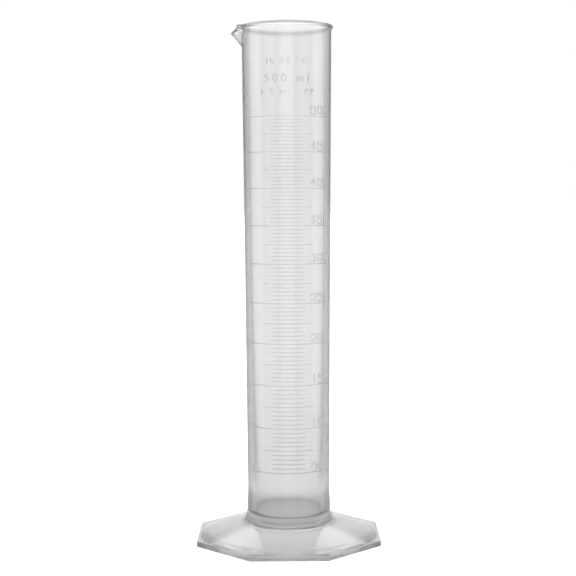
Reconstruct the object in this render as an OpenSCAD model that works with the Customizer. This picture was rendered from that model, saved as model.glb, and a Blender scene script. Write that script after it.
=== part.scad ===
// Measuring cylinder, 500 ml, moulded in natural polypropylene.
// A tapered tube with a beaded rim and a pouring spout stands in an octagonal foot.
// Origin: centre of the foot on the table. +Z runs up the tube, the scale faces -Y
// and the spout points to -X. Every line of the scale is placed by the true volume
// of the tapered bore below it, so the spacing follows the bore when a size changes.

/* [Capacity] */
// Volume at the top line of the scale, in millilitres
capacity = 500; // [100:50:1000]
// Volume between two neighbouring lines
line_step = 5; // [5, 10, 25]
// Volume at the lowest line
first_line = 50; // [25, 50, 100]
// Height from the top line to the rim
headspace = 60; // [30:1:90]

/* [Tube] */
// Diameter of the bore at the floor
bore_d = 45.4; // [35:0.1:60]
// Draft of the bore on each side, in degrees
bore_draft = 0.88; // [0.3:0.01:1.5]
// Wall thickness at the floor
wall_floor = 4.3; // [2.5:0.1:6]
// Wall thickness at the rim
wall_rim = 1.8; // [1.2:0.1:3]
// Height of the floor's upper face above the table
floor_z = 18; // [15:0.5:30]
// Thickness of the floor
floor_t = 3.6; // [2:0.1:6]
// Radius between the floor and the bore
floor_round = 2; // [0.5:0.5:5]
// How far the tube's base stands out from its wall
base_flare = 0.9; // [0.2:0.1:2]
// Height over which the flare runs out above the foot's collar
flare_h = 21; // [5:0.5:40]

/* [Rim and spout] */
// How far the bead stands out from the wall
bead_out = 1.2; // [0.6:0.1:2]
// Height of the bead
bead_h = 2.4; // [1.4:0.1:4]
// How far the spout's tip reaches beyond the wall
spout_reach = 7.2; // [4:0.1:12]
// How far the tip lies below the rim
spout_drop = 4.6; // [0:0.1:6]
// How far below the rim the spout leaves the wall
spout_depth = 13; // [10:0.5:25]
// Half of the spout's own opening angle, in degrees
spout_half_angle = 34; // [25:1:38]
// Wall thickness of the spout
spout_wall = 1.4; // [1:0.1:2]

/* [Foot] */
// Width of the octagonal foot across its flats
foot_w = 120; // [100:1:160]
// Height of the foot's upright edge
foot_edge_h = 3.5; // [2.5:0.1:8]
// Width of the flat ledge that runs round inside the edge
ledge_w = 2; // [1:0.1:4]
// Thickness of the foot's skin over the hollow
foot_wall = 2.6; // [1.5:0.1:3]
// Width of the solid flange, from the flats to the edge of the cone
flange_w = 8; // [4:0.5:15]
// How far the flange rises from the ledge to the edge of the cone
flange_rise = 2.9; // [1:0.1:5]
// How far the cone is crowned above a straight one
cone_crown = 0.3; // [0.1:0.1:1]
// Depth of the socket that holds the tube's base
socket_depth = 1.8; // [1:0.1:5]
// Width of the collar round the socket
collar_w = 1.2; // [0.8:0.1:3]
// How far the collar stands above the cone
collar_h = 2.7; // [1.5:0.1:5]
// Width of the shoulder that the tube stands on
shoulder_w = 5; // [2:0.5:8]

/* [Scale] */
// How far the lines and numerals stand out from the wall
relief = 0.4; // [0.2:0.05:0.8]
// Height of a line
line_h = 0.6; // [0.4:0.1:1]
// Length of the shortest lines, round the wall
short_line = 21.5; // [12:0.5:30]
// Length of the middle lines, round the wall
middle_line = 33; // [20:0.5:45]
// Length of a numbered line to the left of the middle of the scale
long_line_left = 34; // [15:0.5:40]
// Length of a numbered line to the right of the middle of the scale
long_line_right = 32; // [15:0.5:40]
// Height of a numeral
digit_h = 5.6; // [4:0.1:8]
// Width of a numeral
digit_w = 4.4; // [3:0.1:6]
// Width of a numeral's strokes
stroke = 0.8; // [0.5:0.05:1]
// Distance from one numeral to the next, round the wall
digit_pitch = 5.7; // [4.5:0.1:8]
// Distance from the middle of the scale to the first numeral, round the wall
digit_start = 15.5; // [12:0.5:25]
// Gap between a line and the numerals above it
digit_gap = 0.9; // [0.4:0.1:2]

/* [Hidden] */
$fn = 96;

MM3_PER_ML = 1000;
CUT = 1;                // how far a cutting shape runs past what it cuts
MIDDLE_EVERY = 5;       // a middle line at each fifth line
LONG_EVERY = 10;        // a numbered line at each tenth line

bore_floor_r = bore_d/2;
bore_slope = tan(bore_draft);
height = line_z(capacity) + headspace;
bore_rim_r = bore_floor_r + bore_slope*(height - floor_z);
wall_slope = (bore_rim_r + wall_rim - bore_floor_r - wall_floor)/(height - floor_z);
seat_z = floor_z - floor_t;
base_r = outer_r(seat_z) + base_flare;
collar_z = seat_z + socket_depth;
collar_r = base_r + collar_w;
cone_top_z = collar_z - collar_h;
flare_top_z = collar_z + flare_h;
cone_r = foot_w/2 - flange_w;
cone_z = foot_edge_h + flange_rise;

// Height of the liquid's surface when the bore holds this many millilitres:
// the volume of a cone's frustum, solved for its height.
function line_z(ml) = floor_z
    + (pow(pow(bore_floor_r, 3) + 3*bore_slope*ml*MM3_PER_ML/PI, 1/3) - bore_floor_r)/bore_slope;

// Outer radius of the plain tapered wall at a height
function outer_r(z) = bore_floor_r + wall_floor + wall_slope*(z - floor_z);

// Radius of the bore at a height
function bore_r(z) = bore_floor_r + bore_slope*(z - floor_z);

// Turn round the axis that a length round the wall spans at a height, in degrees
function wall_turn(length, z) = length/outer_r(z)*180/PI;

module prism_8(width, z0, z1) {
    translate([0, 0, z0]) rotate([0, 0, 180/8])
        cylinder(h = z1 - z0, r = width/2/cos(180/8), $fn = 8);
}

// ---- tube ----

// Half section of the outside: flared base, tapered wall and beaded rim
module tube_outside() {
    union() {
        polygon([[0, seat_z], [base_r, seat_z], [base_r, collar_z],
            [outer_r(flare_top_z), flare_top_z], [outer_r(height), height], [0, height]]);
        translate([outer_r(height) + bead_out - bead_h/2, height - bead_h/2])
            circle(d = bead_h);
    }
}

// Half section of the bore, rounded where it meets the floor
module tube_bore() {
    top_z = height + CUT;
    difference() {
        polygon([[0, floor_z], [bore_r(floor_z), floor_z], [bore_r(top_z), top_z], [0, top_z]]);
        difference() {
            translate([bore_floor_r - floor_round, floor_z - CUT])
                square([floor_round + CUT, floor_round + CUT]);
            translate([bore_floor_r - floor_round, floor_z + floor_round])
                circle(r = floor_round);
        }
    }
}

// The spout is a cone that stands on its point inside the wall. Its keel is the
// line from where it leaves the wall to the tip.
tip_x = outer_r(height) + spout_reach;
tip_z = height - spout_drop;
keel_foot_z = height - spout_depth;
keel_foot_x = outer_r(keel_foot_z);
keel_angle = atan2(tip_x - keel_foot_x, tip_z - keel_foot_z);
keel_slope = tan(keel_angle);
spout_point_x = keel_foot_x - wall_rim;
spout_point_z = keel_foot_z - wall_rim/keel_slope;

module spout_cone(shift) {
    length = 2*(spout_depth + spout_reach);
    translate([-spout_point_x, 0, spout_point_z])
        rotate([0, spout_half_angle - keel_angle, 0])
            translate([0, 0, shift])
                cylinder(h = length, r1 = 0, r2 = length*tan(spout_half_angle));
}

// What lies above the sloping edge of the spout
module above_spout() {
    brow_x = bore_r(height);
    rotate([90, 0, 0]) linear_extrude(height = 4*tip_x, center = true)
        polygon([[-brow_x, height], [-tip_x, tip_z], [-2*tip_x, tip_z - spout_reach],
            [-2*tip_x, 2*height], [2*tip_x, 2*height], [2*tip_x, height]]);
}

module tube() {
    color([0.90, 0.91, 0.90, 0.6]) difference() {
        union() {
            rotate_extrude() tube_outside();
            spout_cone(0);
        }
        rotate_extrude() tube_bore();
        spout_cone(spout_wall/sin(spout_half_angle));
        above_spout();
    }
}

// ---- foot ----

// Half section of the foot's upper surface, lowered by a distance: the flange, the
// crowned cone and the collar. The flange is solid and rests flat on the table, and
// inside it the foot is a skin over a hollow.
module foot_section(down) {
    edge = [cone_r, cone_z - down];
    top = [collar_r, cone_top_z - down];
    run = top - edge;
    chord = norm(run);
    crown_r = (chord*chord/4 + cone_crown*cone_crown)/(2*cone_crown);
    centre = (edge + top)/2 - [run[1], -run[0]]/chord*(crown_r - cone_crown);
    polygon([[0, -CUT], [foot_w/2, -CUT], [foot_w/2, foot_edge_h - down], edge, top,
        [collar_r, collar_z - down], [0, collar_z - down]]);
    intersection() {
        polygon([edge, [edge[0], top[1]], top]);
        translate(centre) circle(r = crown_r, $fn = 192);
    }
}

module foot() {
    shoulder_z = seat_z - foot_wall;
    color([0.88, 0.89, 0.88, 0.6]) difference() {
        union() {
            prism_8(foot_w, 0, foot_edge_h);
            intersection() {
                prism_8(foot_w - 2*ledge_w, 0, height);
                rotate_extrude() foot_section(0);
            }
        }
        difference() {
            intersection() {
                translate([0, 0, -CUT]) cylinder(h = height, r = cone_r);
                rotate_extrude() foot_section(foot_wall);
            }
            translate([0, 0, shoulder_z]) cylinder(h = height, r = base_r + foot_wall);
        }
        translate([0, 0, seat_z]) cylinder(h = height, r = base_r);
        translate([0, 0, -CUT]) cylinder(h = height, r = base_r - shoulder_w);
    }
}

// ---- scale ----

// One raised line, from one turn round the axis to another. Turn 0 is the middle
// of the scale, and turns grow to the right.
module raised_line(z, turn_0, turn_1) {
    low = z - line_h/2;
    high = z + line_h/2;
    edge = line_h/4;
    rotate([0, 0, turn_0 - 90]) rotate_extrude(angle = turn_1 - turn_0)
        polygon([[outer_r(low), low], [outer_r(low) + relief, low + edge],
            [outer_r(high) + relief, high - edge], [outer_r(high), high]]);
}

module scale_lines() {
    color([0.80, 0.81, 0.80, 0.8])
        for (ml = [first_line : line_step : capacity]) {
            z = line_z(ml);
            is_long = ml % (LONG_EVERY*line_step) == 0;
            is_middle = ml % (MIDDLE_EVERY*line_step) == 0;
            left = is_long ? long_line_left : (is_middle ? middle_line : short_line)/2;
            right = is_long ? long_line_right : (is_middle ? middle_line : short_line)/2;
            raised_line(z, -wall_turn(left, z), wall_turn(right, z));
        }
}

// ---- numerals: one outline for each, in a box digit_w wide and digit_h high ----

bowl_d = (digit_h + stroke)/2;      // the bowls of 3 and 8
big_bowl_d = 0.62*digit_h;          // the bowls of 5, 6 and 9
middle_x = digit_w/2;

// A ring that may be an upright oval with straight sides
module ring(x, y, w, h) {
    module oval(grow) {
        d = w + 2*grow;
        rise = max(h - w, 0);
        translate([x, y + w/2 - h/2]) circle(d = d);
        translate([x, y - w/2 + h/2]) circle(d = d);
        if (rise > 0) translate([x - d/2, y - rise/2]) square([d, rise]);
    }
    difference() {
        oval(0);
        oval(-stroke);
    }
}

module bar(x, y, w, h) {
    translate([x, y]) square([w, h]);
}

// A stroke from one point to another, its ends cut level
module slant(x0, y0, x1, y1) {
    wide = stroke*norm([x1 - x0, y1 - y0])/abs(y1 - y0)/2;
    polygon([[x0 - wide, y0], [x0 + wide, y0], [x1 + wide, y1], [x1 - wide, y1]]);
}

module six() {
    ring(middle_x, big_bowl_d/2, digit_w, big_bowl_d);
    slant(stroke, big_bowl_d*0.62, digit_w*0.62, digit_h);
}

module digit(d) {
    if (d == "0") ring(middle_x, digit_h/2, digit_w, digit_h);
    if (d == "1") {
        bar(middle_x, 0, stroke, digit_h);
        slant(middle_x - 0.15*digit_w, digit_h*0.72, middle_x + stroke/2, digit_h);
    }
    if (d == "2") {
        difference() {
            ring(middle_x, digit_h - digit_w/2, digit_w, digit_w);
            bar(-CUT, digit_h - digit_w - CUT, middle_x + CUT, digit_w/2 + CUT);
            bar(-CUT, digit_h - digit_w - CUT, digit_w + 2*CUT, 0.2*digit_w + CUT);
        }
        slant(stroke*0.8, stroke/2, digit_w*0.84, digit_h - digit_w*0.76);
        bar(0, 0, digit_w, stroke);
    }
    if (d == "3") difference() {
        union() {
            ring(middle_x, digit_h - bowl_d/2, bowl_d, bowl_d);
            ring(middle_x, bowl_d/2, bowl_d, bowl_d);
        }
        bar(-CUT, bowl_d/2, middle_x + CUT - stroke/2, digit_h - bowl_d);
    }
    if (d == "4") {
        bar(digit_w*0.62, 0, stroke, digit_h);
        bar(0, digit_h*0.25, digit_w, stroke);
        slant(stroke/2, digit_h*0.25 + stroke/2, digit_w*0.62 + stroke/2, digit_h);
    }
    if (d == "5") {
        difference() {
            ring(middle_x, big_bowl_d/2, digit_w, big_bowl_d);
            bar(-CUT, big_bowl_d*0.4, middle_x*0.7 + CUT, big_bowl_d*0.34);
        }
        bar(stroke/4, big_bowl_d*0.74, stroke, digit_h - big_bowl_d*0.74);
        bar(stroke/4, digit_h - stroke, digit_w - stroke/2, stroke);
    }
    if (d == "6") six();
    if (d == "7") {
        bar(0, digit_h - stroke, digit_w, stroke);
        slant(digit_w*0.3, 0, digit_w - stroke/2, digit_h - stroke/2);
    }
    if (d == "8") {
        ring(middle_x, digit_h - bowl_d/2, bowl_d, bowl_d);
        ring(middle_x, bowl_d/2, bowl_d, bowl_d);
    }
    if (d == "9") translate([digit_w, digit_h]) rotate(180) six();
}

// The thin skin over the wall, between two heights, that the numerals are cut from
module relief_skin(low, high) {
    rotate_extrude() polygon([[outer_r(low), low], [outer_r(low) + relief, low],
        [outer_r(high) + relief, high], [outer_r(high), high]]);
}

// One numeral, wrapped round the wall with its middle at a length from the middle
// of the scale
module raised_digit(d, along, z) {
    rotate([0, 0, wall_turn(along, z)]) intersection() {
        relief_skin(z - CUT, z + digit_h + CUT);
        translate([-middle_x, -outer_r(z)/2, z]) rotate([90, 0, 0])
            linear_extrude(height = outer_r(z)) digit(d);
    }
}

module numerals() {
    color([0.80, 0.81, 0.80, 0.8])
        for (ml = [first_line : line_step : capacity])
            if (ml % (LONG_EVERY*line_step) == 0) {
                name = str(ml);
                for (i = [0 : len(name) - 1])
                    raised_digit(name[i], digit_start + i*digit_pitch + middle_x,
                        line_z(ml) + line_h/2 + digit_gap);
            }
}

tube();
foot();
scale_lines();
numerals();
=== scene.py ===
# A 500 ml measuring cylinder in natural polypropylene on a pale studio floor.
# The tube and the foot are built here as smooth closed meshes on the CAD's own sizes.
# The raised lines and numerals are the CAD's nodes, with a finished material.
import math

import bmesh
import bpy
import numpy as np
from mathutils import Matrix, Vector


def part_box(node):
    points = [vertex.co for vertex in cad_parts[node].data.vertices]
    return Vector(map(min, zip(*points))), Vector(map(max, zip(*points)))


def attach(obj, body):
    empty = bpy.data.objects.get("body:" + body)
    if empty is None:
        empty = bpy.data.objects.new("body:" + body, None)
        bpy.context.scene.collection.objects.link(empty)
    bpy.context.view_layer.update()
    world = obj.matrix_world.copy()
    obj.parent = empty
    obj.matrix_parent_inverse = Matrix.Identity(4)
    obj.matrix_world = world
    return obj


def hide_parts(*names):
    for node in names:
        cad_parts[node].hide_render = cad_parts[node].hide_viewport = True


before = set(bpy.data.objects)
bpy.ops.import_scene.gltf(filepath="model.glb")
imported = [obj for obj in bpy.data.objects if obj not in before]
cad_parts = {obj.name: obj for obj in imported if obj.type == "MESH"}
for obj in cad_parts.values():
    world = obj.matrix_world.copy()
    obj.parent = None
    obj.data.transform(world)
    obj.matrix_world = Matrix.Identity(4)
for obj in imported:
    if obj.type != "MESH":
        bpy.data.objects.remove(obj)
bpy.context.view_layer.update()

MM = 0.001


# ---- sizes: from the frame where its boxes give them, else as in the CAD, in metres ----

TUBE_LOW, TUBE_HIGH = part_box("tube")
FOOT_LOW, FOOT_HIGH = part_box("foot")

SEAT_Z = TUBE_LOW.z
HEIGHT = TUBE_HIGH.z
TIP_X = -TUBE_LOW.x
COLLAR_Z = FOOT_HIGH.z
FOOT_W = FOOT_HIGH.x - FOOT_LOW.x

BORE_FLOOR_R = 22.7 * MM
BORE_SLOPE = math.tan(math.radians(0.88))
WALL_FLOOR = 4.3 * MM
WALL_RIM = 1.8 * MM
FLOOR_T = 3.6 * MM
FLOOR_Z = SEAT_Z + FLOOR_T
FLOOR_ROUND = 2 * MM
BASE_FLARE = 0.9 * MM
FLARE_H = 21 * MM
BEAD_OUT = 1.2 * MM
BEAD_H = 2.4 * MM
SPOUT_DROP = 4.6 * MM
SPOUT_DEPTH = 13 * MM
SPOUT_WALL = 1.4 * MM
SPOUT_HALF_ANGLE = math.radians(34)
FOOT_EDGE_H = 3.5 * MM
LEDGE_W = 2 * MM
FOOT_WALL = 2.6 * MM
FLANGE_W = 8 * MM
FLANGE_RISE = 2.9 * MM
CONE_CROWN = 0.3 * MM
COLLAR_W = 1.2 * MM
COLLAR_H = 2.7 * MM
SHOULDER_W = 5 * MM
AIR = 0.02 * MM          # between two pieces that touch, so that light meets one surface at a time

BORE_RIM_R = BORE_FLOOR_R + BORE_SLOPE * (HEIGHT - FLOOR_Z)
WALL_SLOPE = (BORE_RIM_R + WALL_RIM - BORE_FLOOR_R - WALL_FLOOR) / (HEIGHT - FLOOR_Z)


def outer_r(z):
    """Outer radius of the plain tapered wall at a height."""
    return BORE_FLOOR_R + WALL_FLOOR + WALL_SLOPE * (z - FLOOR_Z)


def bore_r(z):
    """Radius of the bore at a height."""
    return BORE_FLOOR_R + BORE_SLOPE * (z - FLOOR_Z)


BASE_R = outer_r(SEAT_Z) + BASE_FLARE
COLLAR_R = BASE_R + COLLAR_W
EDGE_R = FOOT_W / 2 - FLANGE_W
EDGE_Z = FOOT_EDGE_H + FLANGE_RISE
CONE_TOP_Z = COLLAR_Z - COLLAR_H


# ---- meshes: a surface swept round the axis, its section given for each direction ----

def add_piece(name, mesh):
    """Puts a mesh into the scene as a piece of its own."""
    piece = bpy.data.objects.new(name, mesh)
    bpy.context.scene.collection.objects.link(piece)
    return piece


def swept_solid(name, turns, section, sharp_angle):
    """A closed, smoothly shaded mesh round the Z axis. section(turn) gives the (r, z) points of
    the outline in that direction, 0 pointing to the spout. The outline either begins and ends
    on the axis or closes on itself. Edges sharper than the angle, in degrees, stay sharp."""
    outlines = [section(turn) for turn in turns]
    count = len(outlines[0])
    verts, faces, rings = [], [], []
    for i in range(count):
        if outlines[0][i][0] == 0:
            rings.append([len(verts)] * len(turns))
            verts.append((0, 0, outlines[0][i][1]))
            continue
        rings.append(list(range(len(verts), len(verts) + len(turns))))
        for turn, outline in zip(turns, outlines):
            r, z = outline[i]
            verts.append((-r * math.cos(turn), -r * math.sin(turn), z))
    closes = outlines[0][0][0] > 0
    pairs = [(i, i + 1) for i in range(count - 1)] + ([(count - 1, 0)] if closes else [])
    for low, high in pairs:
        for j in range(len(turns)):
            k = (j + 1) % len(turns)
            corners = [rings[low][j], rings[low][k], rings[high][k], rings[high][j]]
            faces.append([c for n, c in enumerate(corners) if c != corners[n - 1]])
    mesh = bpy.data.meshes.new(name)
    mesh.from_pydata(verts, [], faces)
    mesh.validate()
    turn_outward(mesh)
    mesh.shade_smooth()
    mesh.set_sharp_from_angle(angle=math.radians(sharp_angle))
    return add_piece(name, mesh)


def turn_outward(mesh):
    """Turns the faces outward, in case the outline ran the other way round."""
    bm = bmesh.new()
    bm.from_mesh(mesh)
    bmesh.ops.recalc_face_normals(bm, faces=bm.faces)
    if bm.calc_volume(signed=True) < 0:
        bmesh.ops.reverse_faces(bm, faces=bm.faces)
    bm.to_mesh(mesh)
    bm.free()


def arc(centre_r, centre_z, radius, start, end, steps):
    """Points round part of a circle in the section, angles in degrees from +r towards +z."""
    angles = [math.radians(start + (end - start) * i / steps) for i in range(steps + 1)]
    return [(centre_r + radius * math.cos(a), centre_z + radius * math.sin(a)) for a in angles]


def heights(start, end, count):
    """Heights in equal steps from one to another, without the first."""
    return [start + (end - start) * i / count for i in range(1, count + 1)]


def clamped(share):
    """A share held between 0 and 1."""
    return min(max(share, 0), 1)


def eased(share):
    """A share held between 0 and 1, which starts and ends gently."""
    share = clamped(share)
    return share * share * (3 - 2 * share)


def blended_max(a, b, width):
    """The larger of two lengths, with the corner between them rounded."""
    h = max(width - abs(a - b), 0) / width
    return max(a, b) + h * h * width / 4


# ---- tube ----

KEEL_Z = HEIGHT - SPOUT_DEPTH
KEEL_R = outer_r(KEEL_Z)
TIP_Z = HEIGHT - SPOUT_DROP
KEEL_SLOPE = (TIP_X - KEEL_R) / (TIP_Z - KEEL_Z)
CONE_LEAN = math.atan(KEEL_SLOPE) - SPOUT_HALF_ANGLE
CONE_R = KEEL_R - WALL_RIM
CONE_Z = KEEL_Z - WALL_RIM / KEEL_SLOPE

SPOUT_BLEND = 0.5 * MM       # width of the rounding where the spout leaves the wall
SPOUT_MARGIN = 2.5 * MM      # the finer rows begin this far below the spout
BEAD_FADE = 0.8 * MM         # the bead runs out where the spout stands out this far
LIP_DEPTH = 0.3 * MM         # the lip's thickness is taken no closer to the edge than this
RIM_ROUND = 0.45 * MM
BASE_ROUND = 0.5 * MM
EDGE_PASSES = 6              # the dip of the edge and the spout's reach depend on each other
ROUND_ROWS = 4
FLOOR_ROWS = 6
BEAD_ROWS = 8
BEAD_SWELL_ROWS = 2          # the bead's underside reaches its full width in this many rows
FLARE_ROWS = 12
WALL_ROWS = 14
SPOUT_ROWS = 22
SPOUT_TURN = 34              # half of the sector with the finer directions, in degrees
COARSE_TURNS = 118
TUBE_SHARP = 40


def cone_reach(turn, z, inset):
    """How far the spout's cone reaches from the axis in a direction, or 0 where it doesn't.
    The cone stands on its point inside the wall and leans outward."""
    up = z - CONE_Z - inset / math.sin(SPOUT_HALF_ANGLE) * math.cos(CONE_LEAN)
    if up <= 0:
        return 0
    lean_r, lean_z = math.sin(CONE_LEAN), math.cos(CONE_LEAN)
    point_r = CONE_R + inset / math.sin(SPOUT_HALF_ANGLE) * lean_r
    # a point at distance r along the turn, seen from the cone's point, is
    # v = (r cos(turn) - point_r, r sin(turn), up), and it lies on the cone where
    # (v . axis)^2 = cos(half angle)^2 |v|^2, a quadratic in r
    across = math.cos(turn)
    spread = math.cos(SPOUT_HALF_ANGLE) ** 2
    slope, offset = across * lean_r, up * lean_z - point_r * lean_r
    a = slope * slope - spread
    b = 2 * slope * offset + 2 * spread * across * point_r
    c = offset * offset - spread * (point_r * point_r + up * up)
    root = b * b - 4 * a * c
    if root < 0:
        return 0
    reach = max((-b - math.sqrt(root)) / (2 * a), (-b + math.sqrt(root)) / (2 * a))
    return reach if reach * across > 0 and offset + slope * reach > 0 else 0


def outside_r(turn, z):
    """Outer radius of the wall with the spout, without the bead."""
    return blended_max(outer_r(z), cone_reach(turn, z, 0), SPOUT_BLEND)


def inside_r(turn, z):
    """Radius of the bore with the spout's channel."""
    return blended_max(bore_r(z), cone_reach(turn, z, SPOUT_WALL), SPOUT_BLEND)


def flared_r(z):
    """Outer radius of the wall with the flare at its base."""
    return outer_r(z) + (BASE_R - outer_r(COLLAR_Z)) * (1 - eased((z - COLLAR_Z) / FLARE_H))


def edge_height(turn):
    """Height of the rim's edge in a direction. It dips evenly along the spout to its tip."""
    edge_z = HEIGHT
    for _ in range(EDGE_PASSES):
        out = outside_r(turn, edge_z) * math.cos(turn)
        edge_z = HEIGHT - SPOUT_DROP * clamped((out - BORE_RIM_R) / (TIP_X - BORE_RIM_R))
    return edge_z


def bead_section(turn, edge_z):
    """The bead's outline from its underside to the edge. It fades out on the spout."""
    bead = 1 - eased((outside_r(turn, edge_z) - outer_r(edge_z)) / BEAD_FADE)
    half = BEAD_H / 2
    points = []
    for i in range(1, BEAD_ROWS + 1):
        angle = math.pi * i / BEAD_ROWS - math.pi / 2
        z = edge_z - half + half * math.sin(angle)
        lip = outside_r(turn, min(z, edge_z - LIP_DEPTH))
        swell = bead * (BEAD_OUT - half + half * math.cos(angle)) * min(1, i / BEAD_SWELL_ROWS)
        points.append((lip + swell, z))
    return points


def tube_section(turn):
    """The tube's outline in one direction: underside, wall, rim, bore and floor."""
    turn = (turn + math.pi) % (2 * math.pi) - math.pi
    edge_z = edge_height(turn)
    flare_end = COLLAR_Z + FLARE_H
    spout_base = KEEL_Z - SPOUT_MARGIN
    rim_low = edge_z - RIM_ROUND
    floor_edge = FLOOR_Z + FLOOR_ROUND

    points = [(0, SEAT_Z), (BASE_R / 2, SEAT_Z)]
    points += arc(BASE_R - BASE_ROUND, SEAT_Z + BASE_ROUND, BASE_ROUND, -90, 0, ROUND_ROWS)
    points.append((BASE_R, COLLAR_Z))
    points += [(flared_r(z), z) for z in heights(COLLAR_Z, flare_end, FLARE_ROWS)]
    points += [(outer_r(z), z) for z in heights(flare_end, spout_base, WALL_ROWS)]
    points += [(outside_r(turn, z), z) for z in heights(spout_base, edge_z - BEAD_H, SPOUT_ROWS)]
    points += bead_section(turn, edge_z)

    points += arc(inside_r(turn, rim_low) + RIM_ROUND, rim_low, RIM_ROUND, 90, 180, ROUND_ROWS)
    points += [(inside_r(turn, z), z) for z in heights(rim_low, spout_base, SPOUT_ROWS)]
    points += [(bore_r(z), z) for z in heights(spout_base, floor_edge, WALL_ROWS)]
    points += arc(bore_r(floor_edge) - FLOOR_ROUND, floor_edge, FLOOR_ROUND, 0, -90, FLOOR_ROWS)[1:]
    points += [(BORE_FLOOR_R / 2, FLOOR_Z), (0, FLOOR_Z)]
    return points


def tube_turns():
    """Directions round the tube, a degree apart at the spout and wider apart elsewhere."""
    fine = list(range(-SPOUT_TURN, SPOUT_TURN + 1))
    coarse = list(np.linspace(SPOUT_TURN, 360 - SPOUT_TURN, COARSE_TURNS)[1:-1])
    return [math.radians(angle) for angle in fine + coarse]


tube = swept_solid("tube_barrel", tube_turns(), tube_section, TUBE_SHARP)


# ---- foot ----

EIGHTH = math.pi / 4         # turn from one side of the octagon to the next
CORNER_ROUND = 2.2 * MM
UNDER_EDGE_ROUND = 0.3 * MM
UPPER_EDGE_ROUND = 0.5 * MM
LEDGE_ROUND = 0.2 * MM
CONE_EDGE_ROUND = 0.9 * MM
COLLAR_BASE_ROUND = 0.5 * MM
COLLAR_ROUND = 0.55 * MM
SOCKET_ROUND = 0.25 * MM
HOLLOW_ROUND = 0.4 * MM
HOLLOW_W = 0.5 * MM          # the hollow under the cone is left out where it's narrower
STEP_H = 0.05 * MM           # the least height of the flange over the ledge
CONE_STEPS = 12
CORNER_OFFSETS = (0, 0.5, 1, 1.5, 2, 2.6, 4, 7, 10, 14, 18, 22.5)     # degrees from a corner
FOOT_SHARP = 32


def octagon_reach(turn, half_width):
    """How far an octagon with rounded corners reaches from the axis in a direction."""
    off_flat = abs((turn + EIGHTH / 2) % EIGHTH - EIGHTH / 2)
    off_corner = EIGHTH / 2 - off_flat
    flat_end = math.atan((half_width - CORNER_ROUND) * math.tan(EIGHTH / 2) / half_width)
    if off_flat <= flat_end:
        return half_width / math.cos(off_flat)
    centre = (half_width - CORNER_ROUND) / math.cos(EIGHTH / 2)
    return (centre * math.cos(off_corner)
            + math.sqrt(CORNER_ROUND ** 2 - (centre * math.sin(off_corner)) ** 2))


def cone_arc(down):
    """The crowned cone in section, from its edge up to the collar, lowered by a distance."""
    start = np.array([EDGE_R, EDGE_Z - down])
    end = np.array([COLLAR_R, CONE_TOP_Z - down])
    run = end - start
    chord = np.linalg.norm(run)
    radius = (chord ** 2 / 4 + CONE_CROWN ** 2) / (2 * CONE_CROWN)
    centre = (start + end) / 2 - np.array([run[1], -run[0]]) / chord * (radius - CONE_CROWN)
    first = math.atan2(*(start - centre)[::-1])
    last = math.atan2(*(end - centre)[::-1])
    return [tuple(centre + radius * np.array([math.cos(a), math.sin(a)]))
            for a in np.linspace(first, last, CONE_STEPS + 1)]


def rounded_path(corners):
    """The outline through (r, z, rounding) corners. A corner with a rounding becomes a curve
    that leaves both of its sides that far from the corner."""
    path = []
    for i, (r, z, cut) in enumerate(corners):
        if not cut:
            path.append((r, z))
            continue
        corner = np.array([r, z])
        before = np.array(corners[i - 1][:2]) - corner
        after = np.array(corners[(i + 1) % len(corners)][:2]) - corner
        start = corner + before / np.linalg.norm(before) * cut
        end = corner + after / np.linalg.norm(after) * cut
        for t in np.linspace(0, 1, ROUND_ROWS + 1):
            path.append(tuple((1 - t) ** 2 * start + 2 * t * (1 - t) * corner + t ** 2 * end))
    return path


def foot_section(turn):
    """The foot's outline in one direction: round the edge, over the flange and the cone to the
    collar, down the socket, and back under along the hollow."""
    out = octagon_reach(turn, FOOT_W / 2)
    ledge = octagon_reach(turn, FOOT_W / 2 - LEDGE_W)
    fall = FLANGE_RISE / FLANGE_W
    step_z = max(EDGE_Z - fall * (ledge - EDGE_R), FOOT_EDGE_H + STEP_H)
    step_r = EDGE_R + (EDGE_Z - step_z) / fall
    socket = BASE_R + AIR
    socket_z = SEAT_Z - AIR
    hole = BASE_R - SHOULDER_W
    shoulder_z = SEAT_Z - FOOT_WALL
    boss = BASE_R + FOOT_WALL
    skin = cone_arc(0)
    ceiling = [point for point in reversed(cone_arc(FOOT_WALL)) if point[0] > boss + HOLLOW_W]

    corners = [(EDGE_R, 0, 0), (out, 0, UNDER_EDGE_ROUND), (out, FOOT_EDGE_H, UPPER_EDGE_ROUND),
               (ledge, FOOT_EDGE_H, LEDGE_ROUND), (min(ledge, step_r), step_z, LEDGE_ROUND)]
    corners.append((*skin[0], CONE_EDGE_ROUND))
    corners += [(*point, 0) for point in skin[1:-1]]
    corners += [(*skin[-1], COLLAR_BASE_ROUND), (COLLAR_R, COLLAR_Z, COLLAR_ROUND),
                (socket, COLLAR_Z, SOCKET_ROUND), (socket, socket_z, 0), (hole, socket_z, 0),
                (hole, shoulder_z, 0), (boss, shoulder_z, 0), (boss, ceiling[0][1], HOLLOW_ROUND)]
    corners += [(*point, 0) for point in ceiling]
    return rounded_path(corners)


def foot_turns():
    """Directions round the foot, closer together at its corners."""
    corners = [math.degrees(EIGHTH) * (n + 0.5) for n in range(8)]
    turns = {round((corner + side * offset) % 360, 4)
             for corner in corners for offset in CORNER_OFFSETS for side in (-1, 1)}
    return [math.radians(angle) for angle in sorted(turns)]


foot = swept_solid("octagonal_foot", foot_turns(), foot_section, FOOT_SHARP)


# ---- marking: what a 500 ml cylinder says of itself, in raised letters over the scale ----

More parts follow.
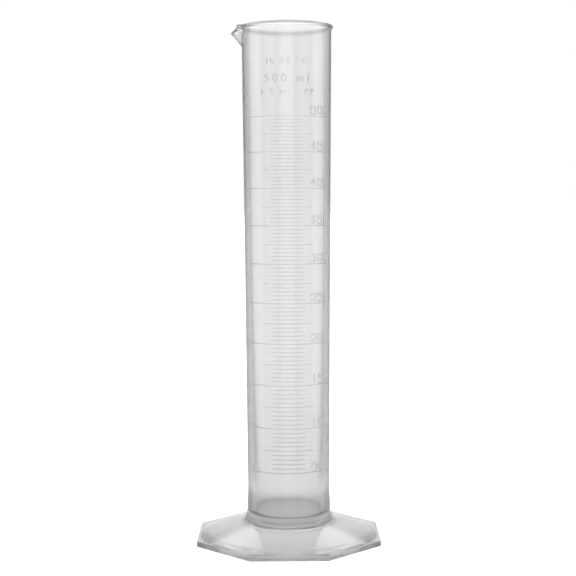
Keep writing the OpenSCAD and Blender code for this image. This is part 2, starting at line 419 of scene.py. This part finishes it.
# each line's words, the height of its middle and the size of its letters
MARKING = (("In 20 °C", 313 * MM, 5.2 * MM), ("500 ml", 302 * MM, 7.4 * MM),
           ("± 5 ml   PP", 293.5 * MM, 5.2 * MM))
MARKING_RELIEF = 0.3 * MM
LETTER_SPACING = 1.5
LETTER_CURVE_STEPS = 3
LETTER_WELD = 0.001 * MM


def letters(name, words, size):
    """A flat mesh of one line of text, as thick as the relief, its middle at the origin."""
    curve = bpy.data.curves.new(name, "FONT")
    curve.body = words
    curve.size = size
    curve.align_x = "CENTER"
    curve.align_y = "CENTER"
    curve.space_character = LETTER_SPACING
    curve.resolution_u = LETTER_CURVE_STEPS
    curve.extrude = MARKING_RELIEF / 2
    flat = bpy.data.objects.new(name, curve)
    bpy.context.scene.collection.objects.link(flat)
    mesh = bpy.data.meshes.new_from_object(
        flat.evaluated_get(bpy.context.evaluated_depsgraph_get()))
    bpy.data.objects.remove(flat)
    return mesh


def raised_text(name, lines):
    """Lines of text, wrapped round the wall."""
    bm = bmesh.new()
    for words, middle_z, size in lines:
        mesh = letters(name, words, size)
        for vert in mesh.vertices:
            along, up, out = vert.co
            z = middle_z + up
            r = outer_r(z) + AIR + out + MARKING_RELIEF / 2
            turn = along / outer_r(z)
            vert.co = (r * math.sin(turn), -r * math.cos(turn), z)
        bm.from_mesh(mesh)
        bpy.data.meshes.remove(mesh)
    bmesh.ops.remove_doubles(bm, verts=bm.verts, dist=LETTER_WELD)
    bmesh.ops.recalc_face_normals(bm, faces=bm.faces)
    mesh = bpy.data.meshes.new(name)
    bm.to_mesh(mesh)
    bm.free()
    return add_piece(name, mesh)


marking = raised_text("capacity_marking", MARKING)


# ---- shader nodes ----

COLOUR_A, COLOUR_B, COLOUR_RESULT = 6, 7, 2     # a Mix node's sockets for colours
FLOAT_A, FLOAT_B = 2, 3                         # and for numbers


def maths(tree, operation, *values):
    """One maths node, its inputs either sockets or numbers."""
    node = tree.nodes.new("ShaderNodeMath")
    node.operation = operation
    for socket, value in zip(node.inputs, values):
        if isinstance(value, (int, float)):
            socket.default_value = value
        else:
            tree.links.new(value, socket)
    return node.outputs[0]


def ramp(tree, value, stops):
    """A grey ramp through the (position, level) stops."""
    node = tree.nodes.new("ShaderNodeValToRGB")
    marks = node.color_ramp.elements
    for position, _ in stops[1:-1]:
        marks.new(position)
    for mark, (position, level) in zip(marks, stops):
        mark.position = position
        mark.color = (level, level, level, 1)
    tree.links.new(value, node.inputs[0])
    return node.outputs[0]


def noise(tree, place, scale, detail):
    """Noise between 0 and 1 over a place."""
    node = tree.nodes.new("ShaderNodeTexNoise")
    node.inputs["Scale"].default_value = scale
    node.inputs["Detail"].default_value = detail
    tree.links.new(place, node.inputs["Vector"])
    return node.outputs["Fac"]


def stretched(tree, value, low, high):
    """A value between 0 and 1 stretched over another range."""
    node = tree.nodes.new("ShaderNodeMapRange")
    node.inputs["To Min"].default_value = low
    node.inputs["To Max"].default_value = high
    tree.links.new(value, node.inputs["Value"])
    return node.outputs["Result"]


def axis_parts(tree, vector):
    """The X, Y and Z of a vector."""
    node = tree.nodes.new("ShaderNodeSeparateXYZ")
    tree.links.new(vector, node.inputs[0])
    return node.outputs


def tinted(tree, colour, tint):
    """A colour, either a socket or three numbers, times a grey tint."""
    node = tree.nodes.new("ShaderNodeMix")
    node.data_type = "RGBA"
    node.blend_type = "MULTIPLY"
    node.inputs["Factor"].default_value = 1
    if isinstance(colour, tuple):
        node.inputs[COLOUR_A].default_value = (*colour, 1)
    else:
        tree.links.new(colour, node.inputs[COLOUR_A])
    tree.links.new(tint, node.inputs[COLOUR_B])
    return node.outputs[COLOUR_RESULT]


# ---- materials ----

BLOTCH_SCALE, BLOTCH_DETAIL = 35, 3
BLOTCH_DARKEST = 0.97
SKIN_SCALE, SKIN_DETAIL = 180, 4
SKIN_SPREAD = 0.2            # share by which the roughness varies either way
PEEL_STRENGTH = 0.05
PEEL_DEPTH = 0.2 * MM
RIM_PAINTED_SHADE = 0.3              # painted shade: how much darker the bead is
SPOUT_PAINTED_SHADE = 0.1            # and the spout, painted shade too
THICK_Z = FLOOR_Z + FLOOR_ROUND / 2
THICK_MILKINESS = 0.3        # how much less clear the tube is below that height, at its floor
HAZE_COLOUR = (0, 0, 0, 1)


def polypropylene(name, colour, clear, roughness, density, ior=1.49):
    """Natural polypropylene: milky, see-through, with a faint orange-peel skin."""
    mat = bpy.data.materials.new(name)
    mat.use_nodes = True
    tree = mat.node_tree
    shader = tree.nodes["Principled BSDF"]
    shader.inputs["IOR"].default_value = ior
    shader.inputs["Transmission Weight"].default_value = clear
    place = tree.nodes.new("ShaderNodeTexCoord").outputs["Object"]

    blotch = noise(tree, place, BLOTCH_SCALE, BLOTCH_DETAIL)
    shade = tinted(tree, colour, stretched(tree, blotch, BLOTCH_DARKEST, 1))
    tree.links.new(shade, shader.inputs["Base Color"])

    skin = noise(tree, place, SKIN_SCALE, SKIN_DETAIL)
    rough = stretched(tree, skin, roughness * (1 - SKIN_SPREAD), roughness * (1 + SKIN_SPREAD))
    tree.links.new(rough, shader.inputs["Roughness"])
    peel = tree.nodes.new("ShaderNodeBump")
    peel.inputs["Strength"].default_value = PEEL_STRENGTH
    peel.inputs["Distance"].default_value = PEEL_DEPTH
    tree.links.new(skin, peel.inputs["Height"])
    tree.links.new(peel.outputs["Normal"], shader.inputs["Normal"])

    haze = tree.nodes.new("ShaderNodeVolumeAbsorption")
    haze.inputs["Color"].default_value = HAZE_COLOUR
    haze.inputs["Density"].default_value = density
    tree.links.new(haze.outputs["Volume"], tree.nodes["Material Output"].inputs["Volume"])
    return mat


def paint_rim_shade(mat):
    """Painted shade: greyer on the beaded rim, and less on the spout."""
    tree = mat.node_tree
    base = tree.nodes["Principled BSDF"].inputs["Base Color"]
    x, y, z = axis_parts(tree, tree.nodes.new("ShaderNodeTexCoord").outputs["Object"])
    squares = maths(tree, "ADD", maths(tree, "POWER", x, 2), maths(tree, "POWER", y, 2))
    wall = maths(tree, "MULTIPLY_ADD", z, WALL_SLOPE, outer_r(0))
    proud = maths(tree, "SUBTRACT", maths(tree, "SQRT", squares), wall)
    spout = maths(tree, "MULTIPLY", maths(tree, "GREATER_THAN", z, KEEL_Z - SPOUT_WALL),
                  maths(tree, "GREATER_THAN", proud, BEAD_OUT / 4))
    bead = maths(tree, "GREATER_THAN", z, HEIGHT - BEAD_H)
    # the share of the colour kept under the painted shade
    kept = maths(tree, "MULTIPLY", maths(tree, "MULTIPLY_ADD", spout, -SPOUT_PAINTED_SHADE, 1),
                 maths(tree, "MULTIPLY_ADD", bead, -RIM_PAINTED_SHADE, 1))
    tree.links.new(tinted(tree, base.links[0].from_socket, kept), base)


def cloud_floor(mat):
    """Milkier where the plastic is thickest, at the tube's floor."""
    tree = mat.node_tree
    clear = tree.nodes["Principled BSDF"].inputs["Transmission Weight"]
    _, _, z = axis_parts(tree, tree.nodes.new("ShaderNodeTexCoord").outputs["Object"])
    thick = maths(tree, "LESS_THAN", z, THICK_Z)
    kept = maths(tree, "MULTIPLY_ADD", thick, -THICK_MILKINESS, clear.default_value)
    tree.links.new(kept, clear)


tube_plastic = polypropylene("polypropylene_tube", (0.98, 0.985, 0.98), 0.94, 0.15, 16)
# painted shade on the beaded rim and the spout
paint_rim_shade(tube_plastic)
cloud_floor(tube_plastic)
foot_plastic = polypropylene("polypropylene_foot", (0.93, 0.935, 0.93), 0.84, 0.14, 14)
line_plastic = polypropylene("polypropylene_raised", (0.95, 0.955, 0.95), 0.95, 0.2, 300, ior=1.25)
digit_plastic = polypropylene("polypropylene_digits", (0.97, 0.975, 0.97), 0.95, 0.25, 120, ior=1.14)

for piece, plastic, node, slot in ((tube, tube_plastic, "tube", "tube_polypropylene"),
                                   (foot, foot_plastic, "foot", "foot_polypropylene")):
    piece.data.materials.append(plastic)
    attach(piece, "root")
    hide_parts(node)

marking.data.materials.append(line_plastic)
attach(marking, "root")

for node, plastic in (("scale_lines", line_plastic), ("numerals", digit_plastic)):
    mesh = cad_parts[node].data
    mesh.materials.clear()
    mesh.materials.append(plastic)


# ---- floor and light ----

# The camera sees a plain pale floor and a white room. What the plastic bends or mirrors is lit
# by panels round the object, so that its edges come out dark as clear plastic's do.
# Panels' stops run from the middle of a dim panel, 0, to the middle of a bright one, 1.
WORLD_LEVEL = 1.05
WORLD_PANELS = ((0.0, 0.5), (0.10, 0.5), (0.28, 0.05), (0.56, 0.05), (0.76, 1.0), (1.0, 1.0))
OVERHEAD_LEVEL = 2.4
OVERHEAD_RING = ((0.0, 0.0), (0.48, 0.0), (0.56, 1.0), (0.74, 1.0), (0.82, 0.1), (1.0, 0.1))

FLOOR_SIZE = 60
FLOOR_DROP = 0.1 * MM        # keeps a film of air under the foot, as on a real table
FLOOR_COLOUR = (0.86, 0.86, 0.86, 1)
FLOOR_ROUGHNESS = 0.9
FLOOR_GLOSS = 0.1
FLOOR_LIFT = 0.62
FLOOR_LEVEL = 1.1
FLOOR_PANELS = ((0.0, 0.8), (0.12, 0.75), (0.30, 0.2), (0.46, 0.2), (0.64, 1.0), (1.0, 1.0))
FLOOR_REACH = 0.8            # distance from the axis at which the pattern's fade-in and the painted shadow end, in metres
# painted shadow: the floor's glow, seen only through the plastic, is darker near the object
FLOOR_PAINTED_SHADOW = ((0.0, 0.42), (0.085, 0.45), (0.13, 0.9), (1.0, 1.0))
FLOOR_PATTERN = ((0.0, 0.0), (0.12, 0.0), (0.32, 1.0), (1.0, 1.0))

WHITE = (1, 1, 1, 1)


def panel_light(tree, vector, stops):
    """How bright the studio is in a direction round the object: four panels stand square to
    it, four dimmer ones stand between them, and the gaps are dark."""
    x, y, _ = axis_parts(tree, vector)
    wave = maths(tree, "COSINE", maths(tree, "MULTIPLY", maths(tree, "ARCTAN2", x, y), 4))
    return ramp(tree, maths(tree, "MULTIPLY_ADD", wave, 0.5, 0.5), stops)


def show(tree, seen, lit, surface):
    """Gives a surface one look for the camera and another for all other light."""
    pick = tree.nodes.new("ShaderNodeMixShader")
    light_path = tree.nodes.new("ShaderNodeLightPath")
    tree.links.new(light_path.outputs["Is Camera Ray"], pick.inputs[0])
    tree.links.new(lit.outputs[0], pick.inputs[1])
    tree.links.new(seen.outputs[0], pick.inputs[2])
    tree.links.new(pick.outputs[0], surface)


def studio_floor():
    """A plain pale floor. For other light it glows: its panels' pattern fades in with the distance
    from the object, and a painted shadow darkens the glow under the object.
    """
    bpy.ops.mesh.primitive_plane_add(size=FLOOR_SIZE, location=(0, 0, -FLOOR_DROP))
    floor = bpy.context.object
    floor.name = "studio_floor"
    mat = bpy.data.materials.new("studio_floor")
    mat.use_nodes = True
    tree = mat.node_tree
    nodes, links = tree.nodes, tree.links
    seen = nodes["Principled BSDF"]
    seen.inputs["Base Color"].default_value = FLOOR_COLOUR
    seen.inputs["Roughness"].default_value = FLOOR_ROUGHNESS
    seen.inputs["Specular IOR Level"].default_value = FLOOR_GLOSS
    seen.inputs["Emission Color"].default_value = WHITE
    seen.inputs["Emission Strength"].default_value = FLOOR_LIFT

    place = nodes.new("ShaderNodeTexCoord").outputs["Object"]
    distance = nodes.new("ShaderNodeVectorMath")
    distance.operation = "LENGTH"
    links.new(place, distance.inputs[0])
    share = maths(tree, "DIVIDE", distance.outputs["Value"], FLOOR_REACH)
    pattern = nodes.new("ShaderNodeMix")
    pattern.inputs[FLOAT_A].default_value = 1
    links.new(ramp(tree, share, FLOOR_PATTERN), pattern.inputs[0])
    links.new(panel_light(tree, place, FLOOR_PANELS), pattern.inputs[FLOAT_B])
    lit = nodes.new("ShaderNodeEmission")
    # the glow with the painted shadow near the object
    glow = maths(tree, "MULTIPLY", pattern.outputs[0], ramp(tree, share, FLOOR_PAINTED_SHADOW))
    links.new(glow, lit.inputs["Color"])
    lit.inputs["Strength"].default_value = FLOOR_LEVEL
    show(tree, seen, lit, nodes["Material Output"].inputs["Surface"])
    floor.data.materials.append(mat)


def studio_light():
    """A white room, with the panels round the object and a bright ring overhead."""
    world = bpy.data.worlds.new("studio")
    bpy.context.scene.world = world
    world.use_nodes = True
    tree = world.node_tree
    nodes, links = tree.nodes, tree.links
    seen = nodes["Background"]
    seen.inputs["Color"].default_value = WHITE

    direction = nodes.new("ShaderNodeTexCoord").outputs["Generated"]
    _, _, up = axis_parts(tree, direction)
    light = nodes.new("ShaderNodeMix")
    light.data_type = "RGBA"
    links.new(ramp(tree, up, OVERHEAD_RING), light.inputs["Factor"])
    links.new(panel_light(tree, direction, WORLD_PANELS), light.inputs[COLOUR_A])
    light.inputs[COLOUR_B].default_value = (OVERHEAD_LEVEL, OVERHEAD_LEVEL, OVERHEAD_LEVEL, 1)
    lit = nodes.new("ShaderNodeBackground")
    links.new(light.outputs[COLOUR_RESULT], lit.inputs["Color"])
    lit.inputs["Strength"].default_value = WORLD_LEVEL
    show(tree, seen, lit, nodes["World Output"].inputs["Surface"])


studio_floor()
studio_light()


# ---- camera: in front of the scale, above the middle of the tube and tipped down to it ----

CAMERA_PLACE = Vector((0.0002, -0.834, 0.2221))
CAMERA_PITCH = 0.066         # radians below the level
CAMERA_ROLL = -0.005
SENSOR_MM = 36
LENS_MM = 78.9
CLIP_END = 100

lens = bpy.data.cameras.new("camera")
lens.sensor_width = SENSOR_MM
lens.lens = LENS_MM
lens.dof.use_dof = False
lens.clip_end = CLIP_END
camera = bpy.data.objects.new("camera", lens)
camera.matrix_world = (Matrix.Translation(CAMERA_PLACE)
                       @ Matrix.Rotation(math.pi / 2 - CAMERA_PITCH, 4, "X")
                       @ Matrix.Rotation(CAMERA_ROLL, 4, "Z"))
bpy.context.scene.collection.objects.link(camera)
bpy.context.scene.camera = camera
bpy.context.scene.view_settings.view_transform = "Standard"
bpy.context.scene.view_settings.look = "None"
